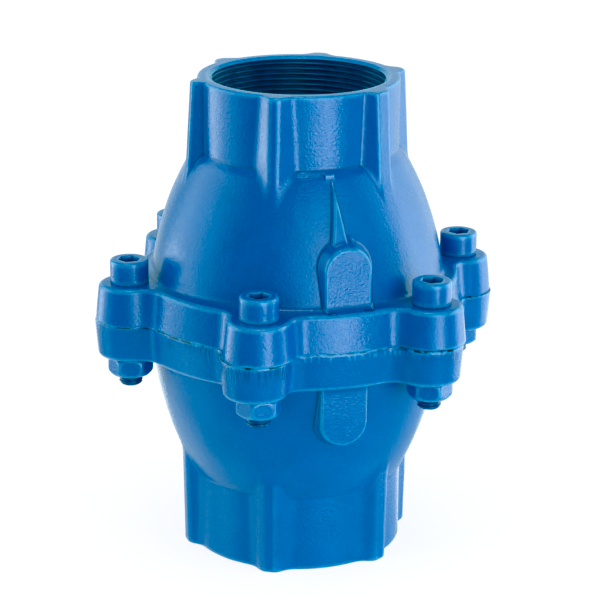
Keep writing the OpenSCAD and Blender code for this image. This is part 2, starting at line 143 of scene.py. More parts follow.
# A skin is (points, quads, triangles). Columns run anticlockwise seen from outside the rows' end, so faces
# look out. Rows close on themselves, or end in poles: a point at the middle of the first and the last row.
def skinFromGrid(grid, loop=True):
    rows, columns = grid.shape[:2]
    points = grid.reshape(-1, 3)
    quads = gridFaces(rows, columns, loop)
    if loop:
        return points, quads, np.zeros((0, 3), int)
    poles = np.stack([grid[0].mean(0), grid[-1].mean(0)])
    c = np.arange(columns)
    n = (c + 1) % columns
    first, last = len(points), len(points) + 1
    start = np.stack([np.full(columns, first), n, c], -1)
    finish = np.stack([np.full(columns, last), (rows - 1) * columns + c, (rows - 1) * columns + n], -1)
    return np.concatenate([points, poles]), quads, np.concatenate([start, finish])


# Several skins as one, each one's corner numbers moved up by the points before it.
def joinSkins(skins):
    shift, points, quads, tris = 0, [], [], []
    for p, q, t in skins:
        points.append(p)
        quads.append(q + shift)
        tris.append(t + shift)
        shift += len(p)
    return np.concatenate(points), np.concatenate(quads), np.concatenate(tris)


# Skin with every face turned round.
def turnedOver(skin):
    return skin[0], skin[1][:, ::-1], skin[2][:, ::-1]


sharpAngle = 50  # degrees between two faces from which their edge is sharp


# New object in the scene that shows a mesh, a light or a camera.
def addObject(name, data):
    made = bpy.data.objects.new(name, data)
    bpy.context.scene.collection.objects.link(made)
    return made


# Puts a skin into a new object at the origin, smooth, with sharp edges only where faces meet steeply.
def addPiece(name, skin, body, material, replaced=()):
    points, quads, tris = skin
    mesh = bpy.data.meshes.new(name)
    mesh.vertices.add(len(points))
    mesh.vertices.foreach_set("co", (points * mm).astype(np.float32).ravel())
    corners = np.concatenate([quads.ravel(), tris.ravel()]).astype(np.int32)
    mesh.loops.add(len(corners))
    mesh.loops.foreach_set("vertex_index", corners)
    starts = np.concatenate([np.arange(len(quads)) * 4, len(quads) * 4 + np.arange(len(tris)) * 3])
    mesh.polygons.add(len(starts))
    mesh.polygons.foreach_set("loop_start", starts.astype(np.int32))
    mesh.polygons.foreach_set("use_smooth", np.ones(len(starts), bool))
    mesh.update(calc_edges=True)
    mesh.set_sharp_from_angle(angle=math.radians(sharpAngle))
    piece = addObject(name, mesh)
    mesh.materials.append(material)
    if body:
        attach(piece, body)
    if replaced:
        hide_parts(*replaced)
    return piece


# One ring of points at the angles a in degrees; radius and height may each be one number or one per column.
def ring(r, z, a):
    return np.stack([r * cosD(a), r * sinD(a), z + 0 * a], -1)


# Grid from rows of (radius, height) at the angles a.
def gridOfRows(rows, a):
    return np.stack([ring(r, z, a) for r, z in rows])


# Ring or solid of revolution: profile points (radius, height) carried round Z in equal steps.
def revolved(profile, columns, loop=True):
    profile = np.array(profile, float)
    a = np.arange(columns) * 360 / columns
    return skinFromGrid(ring(profile[:, 0:1], profile[:, 1:2], a), loop)


# Arc between two directions in degrees, as (radius, height) points.
def arcPoints(centreR, centreZ, r, start, end, steps):
    a = np.linspace(start, end, steps)
    return np.stack([centreR + r * cosD(a), centreZ + r * sinD(a)], -1)


# Rows round an edge: (1 - cos, sin) of count angles from 0 to 90 degrees.
def quarterTurn(count):
    a = np.linspace(0, 90, count)
    return np.stack([1 - cosD(a), sinD(a)], -1)


# x and y turned round Z by an angle in degrees.
def turnedBy(x, y, angle):
    return x * cosD(angle) - y * sinD(angle), x * sinD(angle) + y * cosD(angle)


print("tools ready")

# Materials

# Gives a node's inputs, by name or number, their values: another node's output is linked, the rest is set.
def setInputs(tree, node, values):
    for socket, value in values.items():
        if isinstance(value, bpy.types.NodeSocket):
            tree.links.new(value, node.inputs[socket])
        else:
            node.inputs[socket].default_value = value


# New node of a kind with its inputs given.
def addNode(tree, kind, values):
    node = tree.nodes.new("ShaderNode" + kind)
    setInputs(tree, node, values)
    return node


# New material whose tree holds the shader and an Object coordinate.
def newMaterial(name):
    material = bpy.data.materials.new(name)
    material.use_nodes = True
    tree = material.node_tree
    return material, tree, tree.nodes["Principled BSDF"], addNode(tree, "TexCoord", {}).outputs["Object"]


# Noise on the piece's own coordinates: along each axis a lump is size / stretch millimetres wide.
def addNoise(tree, place, size, detail=3, rough=0.55, stretch=(1, 1, 1)):
    turned = addNode(tree, "Mapping", {"Vector": place, "Scale": stretch}).outputs["Vector"]
    values = {"Vector": turned, "Scale": 1 / (size * mm), "Detail": detail, "Roughness": rough}
    return addNode(tree, "TexNoise", values).outputs["Fac"]


# Colours spread over a value, each (position, colour).
def addRamp(tree, value, stops):
    ramp = addNode(tree, "ValToRGB", {"Fac": value})
    elements = ramp.color_ramp.elements
    while len(elements) < len(stops):
        elements.new(0.5)
    for element, (position, colour) in zip(elements, stops):
        element.position = position
        element.color = (*colour, 1)
    return ramp.outputs["Color"]


# Value carried from one range to another, and held at the ends of the second.
def addRange(tree, value, fromLow, fromHigh, toLow, toHigh):
    values = {"Value": value, "From Min": fromLow, "From Max": fromHigh, "To Min": toLow, "To Max": toHigh}
    return addNode(tree, "MapRange", values).outputs["Result"]


# Bump of a given depth in millimetres, on top of another one if there is one below.
def addBump(tree, value, depth, below=None):
    values = {"Height": value, "Strength": 1, "Distance": depth * mm}
    if below:
        values["Normal"] = below
    return addNode(tree, "Bump", values).outputs["Normal"]


# Mix of two values by a fixed share of the second.
def addBlend(tree, first, second, share):
    return addNode(tree, "Mix", {"Factor": share, "A": first, "B": second}).outputs["Result"]


# Mix of two colours by a value.
def addColourMix(tree, first, second, share):
    mix = tree.nodes.new("ShaderNodeMix")
    mix.data_type = "RGBA"
    setInputs(tree, mix, {"Factor": share, 6: first, 7: (*second, 1)})
    return mix.outputs[2]


# Result of a Math node on one or two values.
def addMath(tree, operation, *values):
    node = tree.nodes.new("ShaderNodeMath")
    node.operation = operation
    setInputs(tree, node, dict(enumerate(values)))
    return node.outputs[0]


# One value times another.
def addProduct(tree, first, second):
    return addMath(tree, "MULTIPLY", first, second)


paint = {
    "colour": (0.0003, 0.101, 0.42), "thick": (0.0002, 0.089, 0.39), "thin": (0.0005, 0.115, 0.452),
    "thinCoatAndHighlight": (0.07, 0.31, 0.66),          # thin coat on an edge, with a painted highlight there; also the pale ticks' tint
    "shadeAndStroke": (0.0, 0.035, 0.17),        # painted shade in corners and sockets; also the tint of the fettling strokes
    "bare": (0.0, 0.008, 0.022),         # gaps in the coat along the joint
    "patch": 14, "mottle": 1.6, "mottleShare": 0.45,  # slow and quick changes of tint
    "highlightFrom": 0.60, "highlightTo": 0.82, "shadeFrom": 0.38, "shadeShare": 0.8,  # values of the attribute edge
    "grain": 0.62, "grainDepth": 0.062,  # sand grain under the coat
    "peel": 1.15, "peelDepth": 0.118,    # slow waves of the coat
    "rough": (0.17, 0.28), "ior": 1.5,
}
# Marks along the joint: width, where their noise is cut off low and high, and a band of four heights over the
# joint between which they grow and fade. By the pad there are ticks, fewer gaps and no strokes.
marks = {
    "nearPad": 21, "farFromPad": 27,     # distances from the plane through the pads' middles
    "upright": (1, 1, 0.07),             # draws strokes and ticks out upwards
    "areas": 20, "areasCut": (0.47, 0.55),  # stretches of the rim that have strokes
    "gaps": {"width": 3.6, "cut": (0.50, 0.56), "band": (-0.75, -0.3, 0.15, 0.5), "byPad": 0.6, "away": 1},
    "strokes": {"width": 0.85, "cut": (0.42, 0.60), "band": (-9, -3, -1.2, -0.5), "byPad": 0, "away": 1,
                "depth": 0.12, "tint": "shadeAndStroke", "mottle": (0.2, 0.8)},
    "ticks": {"width": 1.5, "cut": (0.50, 0.60), "band": (-3.6, -2.4, -1.3, -0.8), "byPad": 1, "away": 0,
              "depth": 0.10, "tint": "thinCoatAndHighlight", "mottle": (0.3, 0.7)},
}


# Joint marks of a casting on top of its colour and normal: long dark strokes where its rim was fettled, short
# pale ticks by the pad tinted with the edges' colour of thin coat and painted highlight, and dark gaps in the
# coat. Each is its noise x its band of heights x its share there.
def addJointMarks(tree, place, mottle, colour, normal):
    axes = addNode(tree, "SeparateXYZ", {"Vector": place}).outputs
    aside = addProduct(tree, axes["X"], axes["X"])
    near, far = (marks["nearPad"] * mm) ** 2, (marks["farFromPad"] * mm) ** 2

    # The noise of a mark, shown only in its band and by its share near the pad and away from it.
    def placed(seen, mark):
        lowest, low, high, highest = [(jointZ + h) * mm for h in mark["band"]]
        above = addRange(tree, axes["Z"], lowest, low, 0, 1)
        below = addRange(tree, axes["Z"], high, highest, 1, 0)
        share = addRange(tree, aside, near, far, mark["byPad"], mark["away"])
        return addProduct(tree, addProduct(tree, above, below), addProduct(tree, seen, share))

    areas = addRange(tree, addNoise(tree, place, marks["areas"], 1), *marks["areasCut"], 0, 1)
    for mark in (marks["strokes"], marks["ticks"]):
        noise = addNoise(tree, place, mark["width"], 1, 0.5, marks["upright"])
        seen = placed(addRange(tree, noise, *mark["cut"], 0, 1), mark)
        if mark is marks["strokes"]:
            seen = addProduct(tree, seen, areas)
        normal = addBump(tree, seen, mark["depth"], normal)
        share = addProduct(tree, seen, addRange(tree, mottle, *mark["mottle"], 0.3, 0.7))
        colour = addColourMix(tree, colour, paint[mark["tint"]], share)
    gaps = addNoise(tree, place, marks["gaps"]["width"], 2, 0.6)
    gaps = placed(addRange(tree, gaps, *marks["gaps"]["cut"], 0.05, 1), marks["gaps"])
    return addColourMix(tree, colour, paint["bare"], gaps), normal


# Epoxy coat: slow colour patches, a sand grain and an orange peel under a clear gloss. The attribute called
# edge says where edges are, which get a paler colour for a thin coat and a painted highlight, and where
# corners are, which get painted shade. A fettled piece has joint marks too.
def paintMaterial(name, grainDepth, peelDepth, fettled=False):
    material, tree, shader, place = newMaterial(name)
    mottle = addNoise(tree, place, paint["mottle"], 3)
    tint = addBlend(tree, addNoise(tree, place, paint["patch"], 3), mottle, paint["mottleShare"])
    colour = addRamp(tree, tint, [(0.34, paint["thick"]), (0.5, paint["colour"]), (0.66, paint["thin"])])
    attribute = tree.nodes.new("ShaderNodeAttribute")
    attribute.attribute_name = "edge"
    edge = attribute.outputs["Fac"]
    # Convex edges paler: a thin coat plus a painted highlight.
    thinCoatAndHighlight = addProduct(tree, addRange(tree, edge, paint["highlightFrom"], paint["highlightTo"], 0, 1),
                      addRange(tree, mottle, 0.3, 0.6, 0.45, 0.8))
    colour = addColourMix(tree, colour, paint["thinCoatAndHighlight"], thinCoatAndHighlight)
    # Corners darker: painted shade.
    shadeAndStroke = addRange(tree, edge, paint["shadeFrom"], 0, 0, paint["shadeShare"])
    colour = addColourMix(tree, colour, paint["shadeAndStroke"], shadeAndStroke)
    grain = addNoise(tree, place, paint["grain"], 2, 0.6)
    peel = addNoise(tree, place, paint["peel"], 2, 0.5)
    normal = addBump(tree, grain, grainDepth, addBump(tree, peel, peelDepth))
    if fettled:
        colour, normal = addJointMarks(tree, place, mottle, colour, normal)
    rough = addRange(tree, grain, 0.3, 0.7, *paint["rough"])
    setInputs(tree, shader, {"Base Color": colour, "Roughness": rough, "Normal": normal, "IOR": paint["ior"]})
    return material


edgeMark = {"nearest": 0.2, "mostBend": 1.2, "gain": 1.2, "rings": 2}


# Writes the attribute edge: 0.5 on flat stretches, more on convex edges and less in corners, where the paint
# gets its painted highlight and its painted shade. It is the mean over a point's neighbours of 2 (how far
# they fall below its tangent plane) / distance^2, evened out over two rings of them. A point that dark picks
# gets 0, the full painted shade.
def markEdges(piece, dark=None):
    mesh = piece.data
    count, pairs = len(mesh.vertices), np.zeros(len(mesh.edges) * 2, np.int32)
    place, normal = np.zeros(count * 3, np.float32), np.zeros(count * 3, np.float32)
    mesh.vertices.foreach_get("co", place)
    mesh.vertex_normals.foreach_get("vector", normal)
    mesh.edges.foreach_get("vertices", pairs)
    place, normal, pairs = place.reshape(-1, 3) / mm, normal.reshape(-1, 3), pairs.reshape(-1, 2)
    both = np.concatenate([pairs, pairs[:, ::-1]])
    step = place[both[:, 1]] - place[both[:, 0]]
    reach = np.maximum(np.sum(step * step, -1), edgeMark["nearest"] ** 2)
    fall = -2 * np.sum(step * normal[both[:, 0]], -1) / reach
    near = np.maximum(np.bincount(both[:, 0], minlength=count), 1)
    bend = np.bincount(both[:, 0], fall, count) / near
    bend = np.clip(bend, -edgeMark["mostBend"], edgeMark["mostBend"])
    for _ in range(edgeMark["rings"]):
        bend = 0.5 * bend + 0.5 * np.bincount(both[:, 0], bend[both[:, 1]], count) / near
    value = np.clip(0.5 + edgeMark["gain"] * bend, 0, 1)
    if dark is not None:
        value = np.where(dark(place), 0, value)
    mesh.attributes.new("edge", "FLOAT", "POINT").data.foreach_set("value", value.astype(np.float32))


metals = {  # darkest and lightest colour, roughness, how metallic, width and depth of the tool marks' rings
    "turnedBronze": ((0.66, 0.36, 0.13), (0.86, 0.54, 0.23), (0.36, 0.5), 0.6, 0.35, 0.012),
    "turnedStainless": ((0.58, 0.54, 0.52), (0.76, 0.72, 0.7), (0.26, 0.4), 0.75, 0.35, 0.012),
    "springWire": ((0.52, 0.48, 0.46), (0.7, 0.66, 0.64), (0.26, 0.4), 0.75, 1.5, 0.004),
}
metalSkin = {"patch": 7, "grain": 0.5, "grainDepth": 0.006}


# Turned metal: rings of tool marks, a noise on (distance from Z, height), with a colour that drifts in slow
# patches.
def metalMaterial(name):
    dark, light, roughness, metallic, ringSize, ringDepth = metals[name]
    material, tree, shader, place = newMaterial(name)
    colour = addRamp(tree, addNoise(tree, place, metalSkin["patch"], 4), [(0.3, dark), (0.7, light)])
    axes = addNode(tree, "SeparateXYZ", {"Vector": place}).outputs
    squares = [addProduct(tree, axes[axis], axes[axis]) for axis in ("X", "Y")]
    radius = addMath(tree, "SQRT", addMath(tree, "ADD", *squares))
    section = addNode(tree, "CombineXYZ", {"X": radius, "Z": axes["Z"]}).outputs["Vector"]
    rings = addNoise(tree, section, ringSize, 2, 0.6)
    grain = addNoise(tree, place, metalSkin["grain"], 2)
    normal = addBump(tree, grain, metalSkin["grainDepth"], addBump(tree, rings, ringDepth))
    rough = addRange(tree, rings, 0.3, 0.7, *roughness)
    setInputs(tree, shader, {"Base Color": colour, "Roughness": rough, "Normal": normal,
                             "Metallic": metallic})
    return material


moulded = {  # darkest and lightest colour, roughness, width and depth of the grain
    # The thread's coat is the casting's blue made darker: painted shade in the bore.
    "shadedThreadPaint": ((0.0003, 0.033, 0.15), (0.0005, 0.055, 0.225), (0.30, 0.42), 0.8, 0.03),
    "sealRubber": ((0.012, 0.012, 0.013), (0.03, 0.03, 0.032), (0.45, 0.62), 0.4, 0.02),
    "bushPlastic": ((0.66, 0.62, 0.52), (0.78, 0.75, 0.66), (0.32, 0.45), 0.8, 0.01),
}
mouldedPatch = 5


# Moulded stuff such as rubber or bearing plastic: faint patches and a fine grain.
def mouldedMaterial(name):
    dark, light, roughness, grain, grainDepth = moulded[name]
    material, tree, shader, place = newMaterial(name)
    colour = addRamp(tree, addNoise(tree, place, mouldedPatch, 3), [(0.3, dark), (0.7, light)])
    skin = addNoise(tree, place, grain, 3)
    rough = addRange(tree, skin, 0.3, 0.7, *roughness)
    normal = addBump(tree, skin, grainDepth)
    setInputs(tree, shader, {"Base Color": colour, "Roughness": rough, "Normal": normal})
    return material


castPaint = paintMaterial("castPaint", paint["grainDepth"], paint["peelDepth"], fettled=True)
fastenerPaint = paintMaterial("fastenerPaint", paint["grainDepth"] * 0.4, paint["peelDepth"] * 0.7)
shadedThreadPaint = mouldedMaterial("shadedThreadPaint")
bronzeMetal = metalMaterial("turnedBronze")
stainlessMetal = metalMaterial("turnedStainless")
wireMetal = metalMaterial("springWire")
blackRubber = mouldedMaterial("sealRubber")
palePlastic = mouldedMaterial("bushPlastic")
print("materials ready")

# Castings

casting = {
    "bulbR": 63.2, "shoulderRound": 9, "fallAway": 6,  # above its shoulder the bulb drops away by this slope
    "wall": 6, "shoulderWall": 5, "coreRound": 6, "passageR": 33,
    "coreDrops": [0.1, 1, 2.5, 4.5, 7, 11],     # rows of the hollow bulb, counted down from its shoulder
    "coreHeights": [48, 42, 36, 30, 24, 18, 12, 7],
    "tappedLen": 30, "sleeveR": 38.2, "endRound": 1.1,
    "mouthR": 36.4, "mouthTop": 38.0, "mouthDeep": 1.1,  # bevel round the mouth of the thread
    "registerR": 60.6, "registerT": 6, "grooveR": 65.1, "grooveW": 3.4, "grooveT": 2.4, "sill": 0.4,
    "faceR": [57.6, 62, 66],                    # rows across the outlet half's joint face
    "stretches": [(19.6, 26, 5), (27, 43, 23), (44.5, 56, 9)],  # first and last row up the bulb, their number
    "holeR": 5.5, "holePast": 3,                # the holes' cutter passes the flange by this
}
flange = {
    "rimR": 70.2, "thick": 16, "earR": 14.4, "hollowR": 7, "edge": 2.1,
    "ledge": 2.8,               # hollow curve where the bulb stands on the flange
    "ledgeRows": [0.08, 0.22, 0.45, 0.72, 1.0],
    "groove": 0.35,             # depth of the hairline at the joint where the paint left it open
    "openLong": 9, "openShort": 3, "openCut": (-0.15, 0.55), "openLeast": 0.25,  # how far it is open where
    "side": [(0, 1), (0.25, 0.55), (0.55, 0.12), (1.2, 0), (2.6, 0), (4.5, 0), (6.5, 0), (8.5, 0), (10.5, 0),
             (12.4, 0)],        # height of each row up the side, and its share of the groove
    "ear": 46, "hollow": 12, "rim": 26, "padRim": 78, "padBolt": 240,  # columns on each arc, more by the pad
}
# Ribs: half widths of crest and foot on the clockwise and the other side, for the ribs at 0, 60 ... 300.
halves = {
    "outletCasting": {
        "node": "outlet_body", "up": True, "endR": 42.4, "curveR": 132, "shoulderH": 70, "draft": 0.105,
        "crest": [(2.2, 2.2)] * 4 + [(2.2, 1.9), (3.9, 3.0)],
        "foot": [(6.7, 6.7)] * 3 + [(6.7, 3.7), (6.7, 6.3), (6.7, 6.7)],
        "ribEdge": 1.5, "ribRoot": 1.5, "hollow": 2.4, "lean": 3.4, "shift": 0.0,
        "padTop": 41.2, "rise": 0.8, "seed": 5,
    },
    "inletCasting": {
        "node": "inlet_body", "up": False, "endR": 45.4, "curveR": 156, "shoulderH": 74, "draft": 0.075,
        "crest": [(3.2, 3.2)] * 6, "foot": [(7.8, 7.8)] * 6,
        "ribEdge": 1.8, "ribRoot": 2.2, "hollow": 1.3, "lean": 1.2, "shift": -1.0,
        "padTop": 42, "rise": 0, "seed": 9,
    },
}
ribOut = 4.3
frontReach = 40  # pads and marks lie within this many degrees of the front
padShape = {"face": 63.9, "draft": 0.02, "halfW": 9.6, "turn": 1.1, "spread": 0.33, "edge": 0.8, "root": 1.0}
flowMark = {
    "w": 8, "turn": -0.9, "foot": 36, "top": 64, "out": 2.6, "wall": 1.1, "under": 6, "over": 2,
    "blockTurn": -1.6, "blockW": 4.4, "blockLow": 64.6, "blockTop": 68.4, "blockOut": 3,
    "blockSoft": 0.5, "blockFoot": 0.4, "blockRoot": 0.6,
}
castSkin = {"wave": 11, "waveDepth": 0.11, "dent": 3.4, "dentDepth": 0.03}


# Radius of a bulb at height h: a long arc about centre, then the small arc that rounds its shoulder, above
# which it falls away steeply.
def bulbRadius(h, centre, curveR, top, cornerR):
    cornerX = centre + math.sqrt((curveR - cornerR) ** 2 - (top - cornerR) ** 2)
    touchH = (top - cornerR) * curveR / (curveR - cornerR)
    side = centre + np.sqrt(curveR ** 2 - np.minimum(h, touchH) ** 2)
    rise = np.clip(h - (top - cornerR), 0, cornerR)
    corner = cornerX + np.sqrt(cornerR ** 2 - rise ** 2)
    return np.where(h < touchH, side, corner - np.maximum(h - top, 0) * casting["fallAway"])


# Columns of the flange outline, one row of numbers each: arc centre x, y, radius, sign of an inset, angle and
# the direction from the axis that the column takes on the bulb. For every bolt: ear, hollow, rim, hollow.
def flangeColumns():
    f = flange
    hollowCentre = f["rimR"] + f["hollowR"]
    reach = f["earR"] + f["hollowR"]
    cosTurn = (hollowCentre ** 2 + boltCircleR ** 2 - reach ** 2) / (2 * hollowCentre * boltCircleR)
    turn = math.degrees(math.acos(cosTurn))
    hx, hy = hollowCentre * cosD(turn), hollowCentre * sinD(turn)
    earA = math.degrees(math.atan2(hy, hx - boltCircleR))
    earTurn = math.degrees(math.atan2(f["earR"] * sinD(earA), boltCircleR + f["earR"] * cosD(earA)))
    back, backTurn = 60 - turn, 60 - earTurn
    columns = []
    for bolt in boltAngles:
        rimCount = f["padRim"] if bolt == f["padBolt"] else f["rim"]
        arcs = [
            (boltCircleR, 0, f["earR"], -1, -earA, earA, f["ear"], -earTurn, earTurn),
            (hollowCentre, turn, f["hollowR"], 1, earA - 180, turn - 180, f["hollow"], earTurn, turn),
            (0, 0, f["rimR"], -1, turn, back, rimCount, turn, back),
            (hollowCentre, back, f["hollowR"], 1, -120 - turn, -120 - earA, f["hollow"], back, backTurn),
        ]
        for centreR, centreA, r, sign, start, end, count, thetaStart, thetaEnd in arcs:
            s = np.arange(count) / count
            a = start + (end - start) * s + bolt
            theta = thetaStart + (thetaEnd - thetaStart) * s + bolt
            centreX, centreY = centreR * cosD(centreA + bolt), centreR * sinD(centreA + bolt)
            one = np.ones(count)
            columns.append(np.stack([centreX * one, centreY * one, r * one, sign * one, a, theta], -1))
    return np.concatenate(columns).T


# Flange outline at the height h, drawn in by inset: arcs keep their centres, ears and rim shrink and hollows
# grow.
def flangeRow(columns, inset, h):
    centreX, centreY, r, sign, a = columns[:5]
    reach = r + sign * inset
    return np.stack([centreX + reach * cosD(a), centreY + reach * sinD(a), h + 0 * a], -1)


# Radius of the collar with its grip ribs: crest plane and sloping flanks, rounded into each other and into
# the round wall.
def collarRadius(theta, h, half, endH):
    endR = half["endR"]
    delta = (theta + 30) % 60 - 30
    rib, side = np.round(theta / 60).astype(int) % 6, (delta > 0).astype(int)
    crestHalf, footHalf = np.array(half["crest"])[rib, side], np.array(half["foot"])[rib, side]
    lean = (endH - h) * math.tan(math.radians(half["lean"]))
    footX = np.sqrt(endR ** 2 - footHalf ** 2)
    crestX = endR + ribOut
    slope = (crestX - footX) / (footHalf - crestHalf)
    crest = (crestX + lean) / cosD(delta)
    flank = (footX + lean + slope * footHalf) / (cosD(delta) + slope * np.abs(sinD(delta)))
    return softMax(softMin(crest, flank, half["ribEdge"]), endR + 0 * theta, half["ribRoot"])


# Angle from the middle of something that stands at -90 degrees and is turned a little.
def fromFront(theta, turn):
    return (theta - turn + 90 + 180) % 360 - 180


# Radius of the pad: a flat face that leans back by its draft, whose sides spread towards the bulb, straight
# below and round above. The side is the root of a quadratic: where a ray from the axis meets that wall.
def padRadius(theta, h, top):
    p = padShape
    delta = fromFront(theta, p["turn"])
    near = np.abs(delta) < frontReach
    delta = np.where(near, delta, frontReach)
    s, c = np.abs(sinD(delta)), cosD(delta)
    spread, full = p["spread"], p["halfW"] + p["spread"] * p["face"]
    dz = np.maximum(h - (top - p["halfW"]), 0)
    b = 2 * full * spread * c
    under = np.maximum(b ** 2 - 4 * (s ** 2 - spread ** 2 * c ** 2) * (dz ** 2 - full ** 2), 0)
    side = 2 * (full ** 2 - dz ** 2) / (b + np.sqrt(under))
    return np.where(near, softMin((p["face"] - p["draft"] * h) / c, side, p["edge"]), 0)


# How far the flow mark stands out: a slim triangle with steep walls, whose width falls evenly to its tip.
def markRaise(theta, h, r):
    m = flowMark
    delta = fromFront(theta, m["turn"])
    x = np.abs(r * sinD(delta))
    halfW = m["w"] / 2 * (m["top"] - h) / (m["top"] - m["foot"])
    wedge = m["out"] * ease(halfW - x, -m["wall"] / 2, m["wall"] / 2) * (h > m["foot"] - m["under"])
    return np.where((np.abs(delta) < frontReach) & (h < m["top"] + m["over"]), wedge, 0)


# Radius out to the small block's face over the mark's tip, zero outside it.
def blockRadius(theta, h, endR):
    m, soft, foot = flowMark, flowMark["blockSoft"], flowMark["blockFoot"]
    delta = fromFront(theta, m["blockTurn"])
    x = np.abs(endR * sinD(delta))
    inside = ease(m["blockW"] / 2 - x, -soft, soft) * ease(h, m["blockLow"] - foot, m["blockLow"] + foot)
    inside = inside * (1 - ease(h, m["blockTop"] - soft, m["blockTop"] + soft)) * (np.abs(delta) < frontReach)
    return inside * (endR + m["blockOut"])


# Radius in each direction at the height h of all that stands over the flange: bulb, flow mark, pad, collar
# and block, each rounded into the next, plus a hollow quarter circle at the bulb's foot.
def outerRadius(theta, h, half, endH):
    k, ledge = casting, flange["ledge"]
    centre = k["bulbR"] - half["curveR"]
    r = bulbRadius(h, centre, half["curveR"], half["shoulderH"], k["shoulderRound"]) + 0 * theta
    if half["up"]:
        r = r + markRaise(theta, h, r)
    r = softMax(r, padRadius(theta, h, half["padTop"]), padShape["root"])
    r = softMax(r, collarRadius(theta, h, half, endH), half["hollow"])
    if half["up"]:
        r = softMax(r, blockRadius(theta, h, half["endR"]), flowMark["blockRoot"])
    t = np.clip((h - flange["thick"]) / ledge, 0, 1)
    return r + ledge * (1 - np.sqrt(1 - (1 - t) ** 2))


# Rows of the flange: hairline at the joint, drafted wall, rounded edge, and its top in to the bulb's foot.
def flangeRows(columns, half, foot):
    f, draft, edge, seed = flange, half["draft"], flange["edge"], half["seed"]
    here = flangeRow(columns, 0, 0)
    noise = lumps(here, f["openLong"], seed + 3) + 0.5 * lumps(here, f["openShort"], seed + 4)
    groove = f["groove"] * (f["openLeast"] + (1 - f["openLeast"]) * ease(noise, *f["openCut"]))
    rows = [flangeRow(columns, draft * h + groove * cut, h) for h, cut in f["side"]]
    edgeH = f["thick"] - edge
    for back, up in quarterTurn(7):
        rows.append(flangeRow(columns, draft * edgeH + edge * back, edgeH + edge * up))
    outside = rows[-1]
    return rows + [outside + (foot - outside) * s for s in (0.25, 0.5, 0.75, 1)]


# Rows up the bulb and the collar, round the edge of the end and in to the mouth of the thread.
def bulbRows(theta, half, endH):
    f, k, endRound, shoulderH = flange, casting, casting["endRound"], half["shoulderH"]
    stretches = k["stretches"] + [(56.8, shoulderH + 3, 32), (shoulderH + 5, endH - endRound - 1.5, 6)]
    heights = [f["thick"] + f["ledge"] * share for share in f["ledgeRows"]]
    for low, high, count in stretches:
        heights += list(np.linspace(low, high, count))
    rows = [ring(outerRadius(theta, h, half, endH), h, theta) for h in heights]
    last = outerRadius(theta, endH - endRound, half, endH)
    for back, up in quarterTurn(6):
        rows.append(ring(last - endRound * back, endH - endRound + endRound * up, theta))
    rim = last - endRound
    return rows + [ring(rim + (k["mouthTop"] - rim) * s, endH, theta) for s in (0.4, 0.75, 1)]


# Inside as rows of (radius, height): mouth, sleeve wall, passage, shoulder and hollow bulb, then the outlet
# half's plain joint face, or the inlet half's register and ring groove.
def innerRows(half, endH):
    k, passageR, sleeveR, sill = casting, casting["passageR"], casting["sleeveR"], casting["sill"]
    mouthH, tappedH = endH - k["mouthDeep"], endH - k["tappedLen"]
    coreTop = half["shoulderH"] - k["shoulderWall"]

    # Radius of the hollow bulb, whose arc is shorter than the outer one by the wall.
    def coreRadius(h):
        centre, curveR = k["bulbR"] - half["curveR"], half["curveR"] - k["wall"]
        return float(bulbRadius(np.array(h), centre, curveR, coreTop, k["coreRound"]))

    rows = [(k["mouthTop"] - 0.15, endH - 0.08), (k["mouthR"] + 0.1, mouthH + 0.07), (k["mouthR"], mouthH),
            (sleeveR, mouthH - 0.15), (sleeveR, tappedH + 0.3), (sleeveR - 0.3, tappedH),
            (passageR + 0.5, tappedH), (passageR, tappedH - 0.5), (passageR, coreTop + 1.2),
            (passageR + 0.35, coreTop + 0.35), (passageR + 1.2, coreTop)]
    rows += [(coreRadius(h), h) for h in [coreTop - drop for drop in k["coreDrops"]] + k["coreHeights"]]
    if half["up"]:
        return rows + [(coreRadius(sill), sill)] + [(r, 0) for r in k["faceR"]]
    deep, registerR, soft, grooveT = k["registerT"], k["registerR"], 0.2, k["grooveT"]
    low, high = k["grooveR"] - k["grooveW"] / 2, k["grooveR"] + k["grooveW"] / 2
    return rows + [(coreRadius(deep + soft), deep), (registerR - soft, deep), (registerR, deep - soft),
                   (registerR, sill), (registerR + sill, 0), (low - 0.1, 0), (low, 0), (low, grooveT - soft),
                   (low + soft, grooveT), (high - soft, grooveT), (high, grooveT - soft), (high, 0),
                   (high + 0.1, 0)]


# One casting as a closed grid in its own half frame: x, y and h, the height over the joint.
# Rows run from the joint up the outside, over the end, down the bore and back across the joint face.
def castingGrid(half, endH):
    columns = flangeColumns()
    theta = columns[5]
    foot = ring(outerRadius(theta, flange["thick"], half, endH), flange["thick"], theta)
    rows = flangeRows(columns, half, foot) + bulbRows(theta, half, endH)
    outerCount = len(rows)
    rows += [ring(r, h, theta) for r, h in innerRows(half, endH)]
    rows.append(rows[-1] + (rows[0] - rows[-1]) * 0.5)
    grid = np.stack(rows)

    # Unevenness of the cast skin on the outside, but not at the joint's hairline, nor at the mouth.
    wave = castSkin["waveDepth"] * lumps(grid, castSkin["wave"], half["seed"])
    dent = castSkin["dentDepth"] * lumps(grid, castSkin["dent"], half["seed"] + 1)
    grid = bumped(grid, wave + dent, 3, outerCount - 5)
    x, y = turnedBy(grid[..., 0], grid[..., 1], half["shift"])
    return np.stack([x, y, grid[..., 2]], -1)


# Takes a grid from its half frame into the valve's frame: the outlet half goes up, the inlet half down.
def placeHalf(grid, up):
    return np.stack([grid[..., 0], grid[..., 1], jointZ + (grid[..., 2] if up else -grid[..., 2])], -1)


# Height of a half's end over the joint.
def endHeight(half):
    return (outletH if half["up"] else inletH) + half["rise"]


# Carries a skin up to the height z and to a bolt: turned on its own axis, then out to the bolt circle.
def atBolt(skin, angle, turn, z):
    points, quads, tris = skin
    x, y = turnedBy(points[:, 0], points[:, 1], turn)
    x, y = x + boltCircleR * cosD(angle), y + boltCircleR * sinD(angle)
    return np.stack([x, y, points[:, 2] + z], -1), quads, tris


